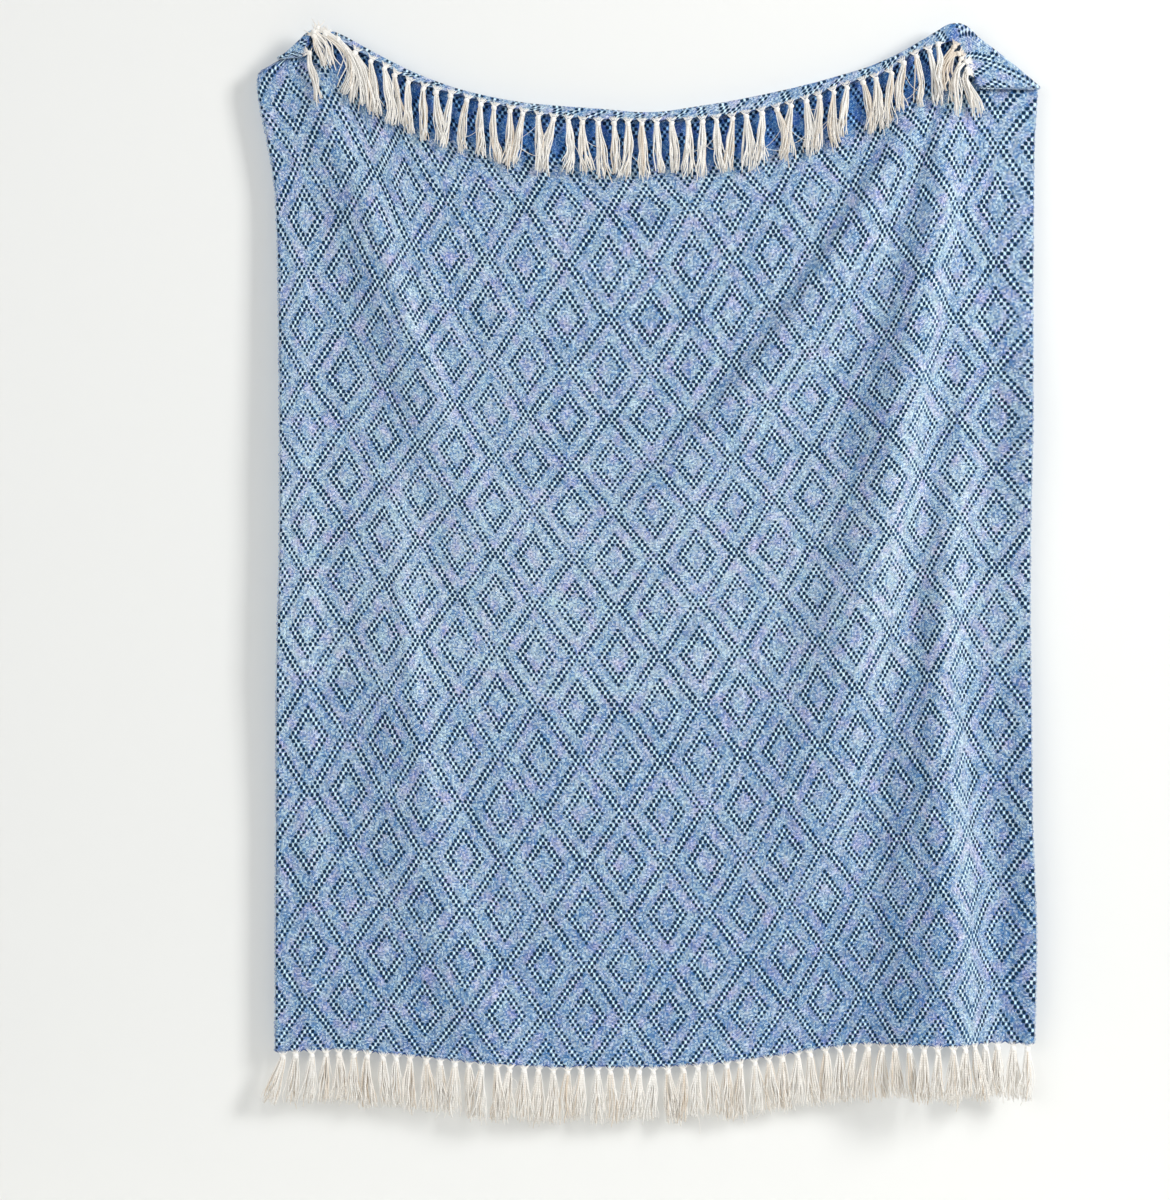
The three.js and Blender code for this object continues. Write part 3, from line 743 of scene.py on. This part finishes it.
# The pattern's repeat, and the diagonals of it that are woven dark or white
REPEAT_COLUMNS = 30
REPEAT_ROWS = 26
FIRST_CENTRE = 12
DARK_STEPS = (5, 7, 13)
WHITE_STEPS = (6, 14)
DARK_FLOAT = Lozenge(0.62, 0.45, 0.25)
WHITE_FLOAT = Lozenge(0.47, 0.37, 0.3)
LOZENGE_POWER = 2.5
ENDS_PER_CELL = 4
PICKS_PER_CELL = 6

# How much white warp shows from the hem up, in bands as lots of weft yarn change, and less near
# the hem
WARP_SHARE = [
    (0.0, 0.36), (0.10, 0.37), (0.17, 0.42), (0.36, 0.44), (0.372, 0.54), (0.575, 0.55),
    (0.60, 0.49), (0.76, 0.48), (0.88, 0.46), (1.0, 0.45),
]


def weave_floats(g, u, v):
    """Where the dark and the white floats lie, and a random number for each cell."""
    # Steps from the centre of the nearest small diamond, counted along the diagonals
    column, row = g.math("FLOOR", u), g.math("FLOOR", v)
    up = g.math("PINGPONG", row, REPEAT_ROWS / 2)
    whole = REPEAT_COLUMNS / 2 + REPEAT_ROWS / 2

    def woven(at_column, choices):
        from_centre = g.math("SUBTRACT", at_column, FIRST_CENTRE)
        steps = g.total(g.math("PINGPONG", from_centre, REPEAT_COLUMNS / 2), up)
        steps = g.math("MINIMUM", steps, g.math("SUBTRACT", whole, steps))
        found = g.math("COMPARE", steps, choices[0], 0.5)
        for choice in choices[1:]:
            found = g.math("MAXIMUM", found, g.math("COMPARE", steps, choice, 0.5))
        return found

    # Each float is a rounded lozenge, and no two are quite alike
    off_u, off_v, own = g.split(g.scatter(g.combine(column, row)))
    in_u = g.math("SUBTRACT", g.math("FRACT", u), 0.5)
    in_v = g.math("SUBTRACT", g.math("FRACT", v), g.ramp(off_v, 0, 1, 0.44, 0.56))
    worn = g.patches(u, v, 0.07, 0.08, 43.0)
    size = g.times(g.ramp(own, 0, 1, 0.8, 1.25), g.ramp(worn, 0.42, 0.72, 0.88, 1.8))

    def far(along, reach):
        return g.math("POWER", g.math("ABSOLUTE", g.math("DIVIDE", along, reach)), LOZENGE_POWER)

    def lozenge(along_u, shape):
        away = g.times(g.total(far(along_u, shape.width), far(in_v, shape.height)), size)
        return g.ramp(away, 1.0 + shape.soft, 1.0 - shape.soft)

    # A dark float bulges past its cell's sides
    beside = g.total(column, g.math("SIGN", in_u))
    past = g.math("SUBTRACT", 1.0, g.math("ABSOLUTE", in_u))
    dark_here = g.times(woven(column, DARK_STEPS), lozenge(in_u, DARK_FLOAT))
    dark_beside = g.times(woven(beside, DARK_STEPS), lozenge(past, DARK_FLOAT))
    dark = g.math("MAXIMUM", dark_here, dark_beside)
    off_centre = g.math("SUBTRACT", in_u, g.ramp(off_u, 0, 1, -0.07, 0.07))
    white = g.times(woven(column, WHITE_STEPS), lozenge(off_centre, WHITE_FLOAT))
    return dark, white, own


def warp_share(g, from_hem):
    """Reads WARP_SHARE at a share of the cloth's length."""
    bands = g.node("ShaderNodeValToRGB")
    g.put(from_hem, bands.inputs[0])
    stops = bands.color_ramp.elements
    while len(stops) < len(WARP_SHARE):
        stops.new(0.5)
    for stop, (position, share) in zip(stops, WARP_SHARE):
        stop.position = position
        stop.color = (share, share, share, 1.0)
    return bands.outputs[0]


def weave_ground(g, u, v, from_hem, light_and_tint):
    """Colour and relief of the ground: white warp ends under and over blue weft picks."""
    end, pick = g.times(u, ENDS_PER_CELL), g.times(v, PICKS_PER_CELL)
    end_number, pick_number = g.math("FLOOR", end), g.math("FLOOR", pick)
    turn = g.math("FRACT", g.math("DIVIDE", g.total(end_number, pick_number), 3.0))
    warp_up = g.math("LESS_THAN", turn, 0.2)
    across_end = g.math("SINE", g.times(g.math("FRACT", end), math.pi))
    across_pick = g.math("SINE", g.times(g.math("FRACT", pick), math.pi))

    # Uneven yarn: streaks along picks and ends, single thick and thin places, cloudy patches
    pick_streak = g.patches(u, pick_number, 0.22, 1.7)
    end_streak = g.patches(end_number, v, 1.7, 0.12, 5.0)
    pair = g.combine(*(g.math("FLOOR", g.times(yarn, 0.5)) for yarn in (end, pick)), 1.0)
    slub, shine, _ = g.split(g.scatter(pair))
    grain = g.patches(u, v, 0.9, 1.1, 2.0)
    cloud = g.patches(u, v, 0.10, 0.13, 9.0, 3.0)
    rose = g.patches(u, v, 0.16, 0.20, 31.0, 3.0)

    # Painted light makes more white warp show, painted shade more blue weft
    share = g.total(
        warp_share(g, from_hem),
        g.times(light_and_tint, 0.32),
        g.ramp(cloud, 0.3, 0.7, -0.11, 0.11),
        g.ramp(grain, 0.25, 0.75, -0.18, 0.18),
        g.ramp(slub, 0, 1, -0.50, 0.50),
        g.times(g.math("SUBTRACT", warp_up, 1 / 3), 0.40),
    )
    weft = g.mix(g.ramp(rose, 0.48, 0.72), WEFT_BLUE, WEFT_LAVENDER)
    warp = g.mix(g.ramp(rose, 0.50, 0.72), WARP_WHITE, WARP_ROSE)
    warp = g.mix(g.ramp(rose, 0.50, 0.28), warp, WARP_GREEN)
    tone = g.total(
        1.0,
        g.ramp(pick_streak, 0.25, 0.75, -0.10, 0.10),
        g.ramp(end_streak, 0.25, 0.75, -0.10, 0.10),
        g.ramp(shine, 0, 1, -0.27, 0.27),
    )
    ground = g.tinted(g.mix(g.ramp(share, 0, 1), weft, warp), tone)
    return ground, g.mix(warp_up, across_pick, across_end)


def make_weave_material():
    """The woven pattern. The weave attribute gives the column, the row, and the painted light and
    shade with a slight tint of the turned edge.
    """
    g = Graph("diamond weave")
    raw_u, raw_v, light_and_tint = g.attribute("weave")
    from_end, _, _ = g.attribute("edge")

    # Yarns never lie quite straight
    sway = g.times(g.math("SUBTRACT", g.patches(raw_u, raw_v, 0.11, 0.16), 0.5), 0.7)
    u = g.total(raw_u, sway)
    v = g.total(raw_v, g.times(sway, 0.6))
    dark, white, own = weave_floats(g, u, v)
    from_hem = g.math("DIVIDE", raw_v, PATTERN_ROWS)
    ground, yarn_height = weave_ground(g, u, v, from_hem, light_and_tint)

    # Floats over the ground, the dark ones painted paler in the painted highlights of the folds; a
    # dark blue line along both ends
    crest = g.ramp(light_and_tint, 0.35, 1.0)
    navy = g.mix(g.times(crest, 0.75), NAVY, NAVY_HIGHLIGHT)
    colour = g.mix(g.times(white, 0.95), ground, FLOAT_WHITE)
    colour = g.mix(dark, colour, navy)
    own_tone = g.tinted(colour, g.ramp(own, 0, 1, 0.8, 1.12))
    colour = g.mix(g.math("MAXIMUM", dark, white), colour, own_tone)
    colour = g.mix(g.ramp(from_end, 3.0, 1.5, 0.0, 0.8), colour, HEM_BLUE)
    # Painted shade, darker and bluer, under the flap and its tassels and where the turned edge is
    # pinched
    shaded = g.mix(1.0, colour, SHADED_BLUE, "MULTIPLY")
    colour = g.mix(g.ramp(light_and_tint, -0.5, -1.2), colour, shaded)

    # Relief: cockled cloth, round yarns, floats a little proud
    cockle = g.patches(raw_u, raw_v, 0.10, 0.12, 17.0, 3.0)
    broad = g.bump(cockle, 0.5, 0.003)
    relief = g.total(g.times(yarn_height, 0.5), g.times(g.total(dark, white), 0.5))
    fine = g.bump(relief, 0.5, 0.0006, broad)
    g.finish(colour, fine, roughness=0.92, sheen=0.12)
    return g.material


def make_yarn_material(name, light, deep):
    """Soft twisted yarn. The yarn attribute gives the place along and round it, and its tone."""
    g = Graph(name)
    along, around, tone = g.attribute("yarn")
    turns = g.total(g.times(along, 1.6), g.times(around, 2 * math.pi))
    twist = g.math("SINE", turns)
    fuzz = g.noise(g.combine(g.times(along, 0.25), around, g.times(tone, 9.0)), 5.0, 3.0)
    fuzz_tone = g.ramp(fuzz, 0.3, 0.8, -0.1, 0.16)
    share = g.total(g.times(tone, 0.8), fuzz_tone, g.times(twist, -0.04))
    colour = g.mix(g.ramp(share, 0, 1), light, deep)
    height = g.total(g.times(twist, 0.6), fuzz)
    g.finish(colour, g.bump(height, 0.5, 0.0004), roughness=0.88, sheen=0.2)
    return g.material


class Bundle:
    """Tubes and knots gathered into one mesh."""

    def __init__(self):
        self.points, self.faces, self.marks = [], [], []

    def make(self, name, material):
        return make_object(name, self.points, self.faces, material, {"yarn": self.marks})

    def grid(self, rings, tone):
        """Skins a list of rings that have the same number of points, and closes both ends."""
        base = len(self.points)
        sides = len(rings[0])
        length = 0.0
        for k, ring in enumerate(rings):
            if k:
                moved = np.mean(ring, axis=0) - np.mean(rings[k - 1], axis=0)
                length += float(np.linalg.norm(moved))
            for s, point in enumerate(ring):
                self.points.append(point)
                self.marks.append((length, s / sides, tone))
        for k in range(len(rings) - 1):
            for s in range(sides):
                a, b = base + k * sides + s, base + k * sides + (s + 1) % sides
                self.faces.append((a, b, b + sides, a + sides))
        last = base + (len(rings) - 1) * sides
        self.faces.append(tuple(base + s for s in reversed(range(sides))))
        self.faces.append(tuple(last + s for s in range(sides)))

    def tube(self, path, radii, tone, sides=4):
        path = np.asarray(path)
        runs = unit(np.gradient(path, axis=0))
        angles = np.arange(sides) * 2 * math.pi / sides
        rings = []
        for point, run, radius in zip(path, runs, radii):
            side = np.cross(run, (0.0, 1.0, 0.0))
            side /= max(np.linalg.norm(side), TINY)
            other = np.cross(run, side)
            ways = [side * math.cos(a) + other * math.sin(a) for a in angles]
            rings.append([point + radius * way for way in ways])
        self.grid(rings, tone)


def clear_of_cloth(x, z, gap):
    """Furthest back that yarn may hang in front of the hanging layer."""
    out = np.max([standout(np.asarray(x) + step, z) for step in (-6.0, 0.0, 6.0)], axis=0)
    return TURN_RADIUS - out - CLOTH_THICKNESS / 2 - YARN_STANDS_OFF - gap


def make_fan(bundle, root, run, way, knot, tone, random):
    """The warp ends gathered from the cloth to their knot."""
    for side in np.linspace(-1, 1, FAN_THREADS):
        start = root + run * side * FAN_HALF_WIDTH - way * random.uniform(4.5, 7.5)
        start[1] -= CLOTH_THICKNESS / 2 - 0.2
        bundle.tube([start, start * 0.5 + knot * 0.5, knot], FAN_RADII, tone)


def make_wisps(bundle, knot, count, tone, random):
    """Fine ends that stand up from a knot."""
    for _ in range(count):
        tip = knot + np.array([random.normal(0, 7), random.uniform(-5, 0), random.uniform(7, 15)])
        halfway = knot * 0.5 + tip * 0.5 + (random.normal(0, 1), 0, 0)
        bundle.tube([knot, halfway, tip], WISP_RADII, tone)


def tassel_line(knot, way, style, laid, lean_to, random):
    """The line down the middle of a tassel, from its knot."""
    long = style.length * random.uniform(0.92, 1.05)
    if laid:
        line = smooth_path([(knot[0], knot[2]), *laid.way], YARN_STEPS + 1)
        return np.stack([line[:, 0], np.full(len(line), knot[1]), line[:, 1]], axis=1)
    t = np.linspace(0, 1, YARN_STEPS + 1)
    lean, bend = random.normal(lean_to, style.lean), random.normal(0, style.lean * 0.35)
    line = knot + np.outer(5.0 * (1 - np.exp(-t * 7)), way)
    line[:, 0] += lean * t + bend * np.sin(math.pi * t)
    line[:, 2] -= long * t * (1 - 0.5 * (lean / long) ** 2)
    return line


def make_tassel(bundle, root, run, way, style, laid, lean_to, layer, random):
    """Warp ends gathered from the cloth, their knot, and the loose yarns below it."""
    tone = laid.tan if laid else random.uniform(0.0, 0.2)
    full = laid.full if laid else 1.0
    knot = root + way * KNOT_SIZE * KNOT_BELOW
    if style.in_front:
        knot[1] = min(knot[1], float(clear_of_cloth(knot[0], knot[2], KNOT_SIZE)) - layer)
    else:
        knot[1] -= 1.0
    make_knot(bundle, knot, tone, random)
    make_fan(bundle, root, run, way, knot, tone, random)
    make_wisps(bundle, knot, laid.wisps if laid else 0, tone + 0.25, random)
    centre = tassel_line(knot, way, style, laid, lean_to, random)
    beside = square_to(np.gradient(centre, axis=0))

    t = np.linspace(0, 1, YARN_STEPS + 1)
    opening = style.neck + (1 - style.neck) * np.clip(t / style.open_by, 0, 1) ** 0.8
    split = random.uniform() < SPLIT_CHANCE
    for k in range(round(style.yarns * full)):
        angle, reach = random.uniform(0, 2 * math.pi), math.sqrt(random.uniform(0, 1))
        aside = math.cos(angle) * reach * style.wide * full
        ahead = math.sin(angle) * reach * style.deep
        phase, waves = random.uniform(0, 2 * math.pi), random.uniform(4, 12)
        sway = style.wave * random.uniform(0.4, 1.3)
        off = aside * opening + sway * (np.sin(phase + waves * t) - math.sin(phase)) * t
        off += random.normal(0, style.stray) * t**2
        if split and k % 3 == 0:
            off += style.lean * 1.3 * t**1.5
        path = centre + beside * off[:, None]
        own = 1 + random.uniform(-1, 0.5) * style.uneven * (1 if random.uniform() < 0.85 else 3)
        path = path[0] + (path - path[0]) * own
        path[:, 1] += -ahead * opening + 0.5 * sway * np.cos(phase + waves * t) * t
        if style.in_front:
            limit = clear_of_cloth(path[:, 0], path[:, 2], style.radius) - layer
            path[:, 1] = np.minimum(path[:, 1], limit - style.deep * opening - ahead * opening)
        radii = style.radius * random.uniform(0.8, 1.15) * (1 - style.taper * t**3)
        yarn_tone = tone + random.uniform(-0.1, 0.2) + (0.6 if random.uniform() < 0.12 else 0)
        bundle.tube(path, radii, float(np.clip(yarn_tone, 0, 1)))
    return centre


def make_knot(bundle, centre, tone, random):
    """An overhand knot: a squat ball whose surface shows the yarns wound slantwise round it."""
    sides, levels = 12, 7
    turn, tilt = random.uniform(0, 2 * math.pi), random.uniform(-0.3, 0.3)
    size = KNOT_SIZE * random.uniform(0.9, 1.12)
    rings = []
    for level in range(levels):
        up = math.pi * (0.4 + level) / (levels - 0.2)
        ring = []
        for s in range(sides):
            around = 2 * math.pi * s / sides
            ridge = 1 + 0.15 * math.sin(3 * around + 2.4 * up + turn)
            radius = size * math.sin(up) ** 0.65 * ridge
            x, y = radius * math.cos(around), radius * 0.85 * math.sin(around)
            ring.append(centre + np.array([x, y, size * 0.92 * math.cos(up) + tilt * x]))
        rings.append(ring)
    bundle.grid(rings, tone)


def make_astray(bundle, centres, style, random):
    """Fine yarns come loose, from one tassel to the next or hanging free."""
    for _ in range(style.astray):
        k = int(random.integers(0, TASSELS - 1))
        one, other = centres[k], centres[k + 1]
        first, second = random.integers(1, YARN_STEPS, 2)
        start = one[first].copy()
        if style.in_front or random.uniform() < 0.3:
            stop = other[second].copy()
            sag = np.array([random.normal(0, 3), 0, -random.uniform(2, 10)])
        else:
            stop = start + np.array([random.uniform(-14, 14), 0, -random.uniform(10, 34)])
            sag = np.array([random.normal(0, 5), 0, random.normal(0, 3)])
        t = np.linspace(0, 1, ASTRAY_POINTS)[:, None]
        path = start + (stop - start) * t + sag * 4 * t * (1 - t)
        path[:, 1] = np.minimum(start[1], stop[1]) - style.deep - random.uniform(0.5, 2.5)
        if style.in_front:
            limit = clear_of_cloth(path[:, 0], path[:, 2], style.deep * 2 + 1)
            path[:, 1] = np.minimum(path[:, 1], limit)
        radii = [ASTRAY_RADIUS] * ASTRAY_POINTS
        bundle.tube(path, radii, float(random.uniform(0, 0.3)), sides=3)


def make_fringe(name, places, end, inner, style, material):
    """The knots and tassels along one end of the cloth, with a few fine yarns astray."""
    random = np.random.default_rng(style.seed)
    bundle = Bundle()
    runs = unit(np.gradient(end, axis=0))
    ways = square_to(runs)
    ways *= np.sign(np.sum(ways * (end - inner), axis=1, keepdims=True))
    centres = []
    for k in range(TASSELS):
        laid = LAID.get(k) if style.in_front else None
        across = laid.across if laid else TASSEL_PITCH * (k + 0.5)
        shift = 0.0 if laid else random.uniform(-2.0, 2.0)
        layer = LAYER_DEPTH * (k % 3) if laid else 0.0
        lean_to = 0.0 if style.in_front else FIRST_LEAN * math.exp(-k / LEAN_DIES_OVER)
        root = point_at(across + shift, places, end)
        run, way = point_at(across, places, runs), point_at(across, places, ways)
        centres.append(make_tassel(bundle, root, run, way, style, laid, lean_to, layer, random))
    make_astray(bundle, centres, style, random)
    return bundle.make(name, material)


# The camera looks square-on at the throw; the scale is in millimetres a pixel
PHOTO_HEIGHT = 1200
PHOTO_SCALE = 1.617
SENSOR_SIZE = 36.0
VIEW_CENTRE = (-113.0, -797.0)
VIEW_DISTANCE = 3770.0

# Wall and floor
STAGE_LEFT = -1500.0
STAGE_RIGHT = 1300.0
WALL_BEHIND = 35.0
WALL_TOP = 700.0
FLOOR_BELOW = -1950.0
FLOOR_FRONT = -3000.0
WALL_COLOUR = linear(234, 234, 231)
FLOOR_COLOUR = linear(226, 225, 222)

# Each light's name, place, size and watts; the room as it lights the throw, and as it is seen
LIGHTS = (
    ("key", (4.2, -3.0, 1.3), (1.4, 2.0), 230),
    ("fill", (-2.6, -4.4, 0.2), (3.0, 3.0), 70),
    ("back", (0.8, 3.6, 0.2), (3.0, 3.0), 140),
)
LIGHTS_AIM = (0.0, 0.0, -0.8)
ROOM_COLOUR = linear(236, 238, 240)
ROOM_STRENGTH = 0.55
SEEN_COLOUR = linear(240, 240, 239)
SEEN_STRENGTH = 0.95


def make_camera():
    data = bpy.data.cameras.new("camera")
    data.sensor_width = SENSOR_SIZE
    data.lens = SENSOR_SIZE * VIEW_DISTANCE / (PHOTO_HEIGHT * PHOTO_SCALE)
    camera = bpy.data.objects.new("camera", data)
    camera.location = (VIEW_CENTRE[0] * MM, -VIEW_DISTANCE * MM, VIEW_CENTRE[1] * MM)
    camera.rotation_euler = (math.pi / 2, 0, 0)
    bpy.context.collection.objects.link(camera)
    bpy.context.scene.camera = camera


def make_wall_material():
    """Pale, throws no shadow, and can be looked through from behind."""
    g = Graph("pale wall")
    pale = g.result("ShaderNodeBsdfDiffuse", (WALL_COLOUR,))
    clear = g.result("ShaderNodeBsdfTransparent", ())
    behind = g.result("ShaderNodeNewGeometry", (), "Backfacing")
    shadow = g.result("ShaderNodeLightPath", (), "Is Shadow Ray")
    unseen = g.math("MAXIMUM", behind, shadow)
    g.surface(g.result("ShaderNodeMixShader", (unseen, pale, clear)))
    return g.material


def make_stage():
    """A pale floor, and a pale wall close behind the throw for its soft shadow."""
    left, right, back, low = STAGE_LEFT, STAGE_RIGHT, WALL_BEHIND, FLOOR_BELOW
    corners = [(left, back, low), (right, back, low), (right, back, WALL_TOP),
               (left, back, WALL_TOP)]
    make_object("wall", corners, [(0, 1, 2, 3)], make_wall_material())
    g = Graph("pale floor")
    g.finish(FLOOR_COLOUR, None, roughness=0.8, sheen=0.0)
    corners = [(left, FLOOR_FRONT, low), (right, FLOOR_FRONT, low), (right, back, low),
               (left, back, low)]
    make_object("floor", corners, [(0, 1, 2, 3)], g.material)


def make_light(name, place, size, power):
    data = bpy.data.lights.new(name, "AREA")
    data.shape = "RECTANGLE"
    data.size, data.size_y = size
    data.energy = power
    light = bpy.data.objects.new(name, data)
    light.location = place
    way = Vector(LIGHTS_AIM) - Vector(place)
    light.rotation_euler = way.to_track_quat("-Z", "Y").to_euler()
    bpy.context.collection.objects.link(light)


def make_world():
    world = bpy.data.worlds.new("soft room")
    world.use_nodes = True
    tree = world.node_tree
    room = tree.nodes["Background"]
    seen = tree.nodes.new("ShaderNodeBackground")
    for background, colour, strength in (
        (room, ROOM_COLOUR, ROOM_STRENGTH),
        (seen, SEEN_COLOUR, SEEN_STRENGTH),
    ):
        background.inputs[0].default_value = colour
        background.inputs[1].default_value = strength
    mix = tree.nodes.new("ShaderNodeMixShader")
    light_path = tree.nodes.new("ShaderNodeLightPath")
    tree.links.new(light_path.outputs["Is Camera Ray"], mix.inputs[0])
    tree.links.new(room.outputs[0], mix.inputs[1])
    tree.links.new(seen.outputs[0], mix.inputs[2])
    tree.links.new(mix.outputs[0], tree.nodes["World Output"].inputs[0])
    bpy.context.scene.world = world
    bpy.context.scene.view_settings.view_transform = "Standard"


def main():
    make_camera()
    make_stage()
    for light in LIGHTS:
        make_light(*light)
    make_world()
    weave = make_weave_material()
    yarn = make_yarn_material("cream yarn", YARN_CREAM, YARN_TAN)
    loop = make_yarn_material("selvedge yarn", LOOP_WHITE, LOOP_BLUE)
    places = np.linspace(0, CLOTH_WIDTH, CLOTH_COLUMNS)
    middle, rows = middle_surface(places)
    cloth, middle = make_cloth(places, middle, rows, weave)
    edges = make_selvedges(middle, rows, loop)
    top = make_fringe("top_tassels", places, middle[-1], middle[-2], TOP_STYLE, yarn)
    bottom = make_fringe("bottom_tassels", places, middle[0], middle[1], BOTTOM_STYLE, yarn)
    for piece, node, slot in (
        (cloth, "throw", "woven_cotton"),
        (edges, "throw", "woven_cotton"),
        (top, "fringe_top", "cream_cotton_yarn"),
        (bottom, "fringe_bottom", "cream_cotton_yarn"),
    ):
        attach(piece, "root")
        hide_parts(node)


main()
